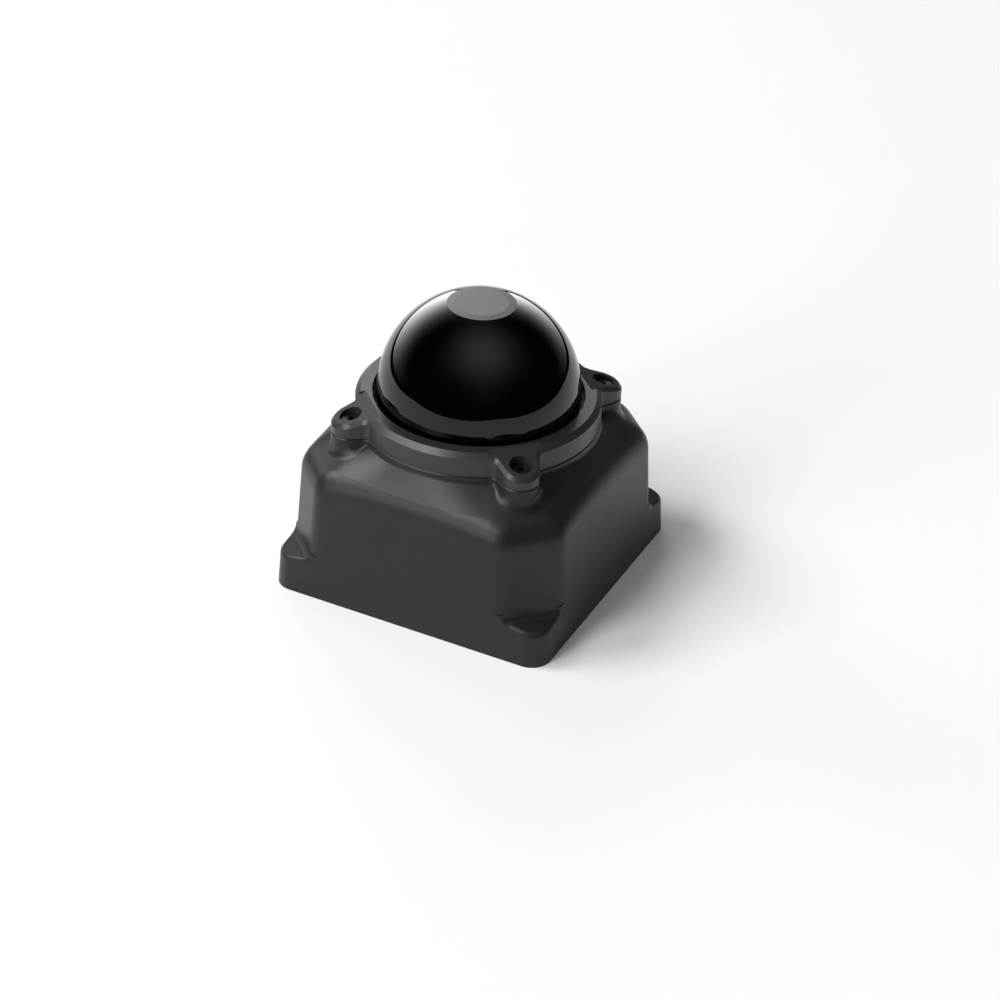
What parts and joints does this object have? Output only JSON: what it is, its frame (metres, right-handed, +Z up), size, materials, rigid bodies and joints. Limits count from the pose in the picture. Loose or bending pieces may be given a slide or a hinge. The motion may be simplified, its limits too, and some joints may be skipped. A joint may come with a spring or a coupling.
{
  "type": "dome lidar sensor",
  "caption": "Compact lidar: glossy black dome in an eared clamp ring on a square cast housing with corner lugs, a spinning optical head inside and a round rear inlet",
  "frame": {"origin": "centre of the foot's bolt pattern, on the bottom face", "axes": "+Z up along the scan axis, +Y to the rear where the inlet is, -Y to the front"},
  "size_m": [0.0694, 0.0805, 0.067],
  "materials": {
    "casting": "matte powder coat, dark grey",
    "ring_paint": "matte powder coat, dark grey",
    "dome": "polished, passes infrared light",
    "cap": "matte grey",
    "black_steel": "black oxide",
    "steel": "ground",
    "seal": "soft moulded",
    "bare_aluminium": "machined",
    "black_aluminium": "black anodised",
    "nickel_brass": "nickel plated",
    "contact_gold": "gold plated",
    "insert_plastic": "moulded black",
    "board": "green solder mask",
    "chip": "moulded black",
    "soft_pad": "soft heat pad",
    "ferrite": "sintered",
    "copper": "enamelled copper wire",
    "optical_glass": "polished, coated",
    "weight_brass": "machined"
  },
  "bodies": {
    "base": {"housing": "casting", "clamp_ring": "ring_paint", "dome_window": "dome", "dome_cap": "cap", "ring_screws": "black_steel", "base_screws": "black_steel", "board_standoffs": "steel", "board_spacers": "steel", "board_screws": "steel", "carrier_screws": "steel", "axle": "steel", "stator_core": "steel", "bearing_inner_rings": "steel", "bearing_spacers": "steel", "retaining_ring": "steel", "dome_seal": "seal", "base_gasket": "seal", "connector_seal": "seal", "base_plate": "bare_aluminium", "bearing_carrier": "bare_aluminium", "power_capacitors": "bare_aluminium", "connector_shell": "nickel_brass", "connector_nut": "nickel_brass", "connector_contacts": "contact_gold", "connector_insert": "insert_plastic", "board_header": "insert_plastic", "encoder_sensor": "insert_plastic", "main_board": "board", "power_board": "board", "processor": "chip", "link_emitter": "chip", "thermal_pad": "soft_pad", "power_inductor": "ferrite", "power_coil_fixed": "ferrite", "stator_windings": "copper"},
    "rotor": {"rotor_hub": "bare_aluminium", "rotor_magnets": "steel", "power_coil_rotor": "ferrite", "encoder_disc": "steel", "bearing_outer_rings": "steel", "optics_block": "black_aluminium", "emitter_barrel": "black_aluminium", "receiver_barrel": "black_aluminium", "emitter_lens": "optical_glass", "receiver_lens": "optical_glass", "emitter_board": "board", "detector_board": "board", "rotor_board": "board", "rotor_board_screws": "steel", "block_screws": "steel", "balance_weight": "weight_brass", "link_receiver": "chip"}
  },
  "joints": [
    {"name": "scan_spin", "type": "hinge", "parent": "base", "child": "rotor", "pos_m": [0, 0, 0.049], "axis": [0, 0, 1], "continuous": true}
  ]
}
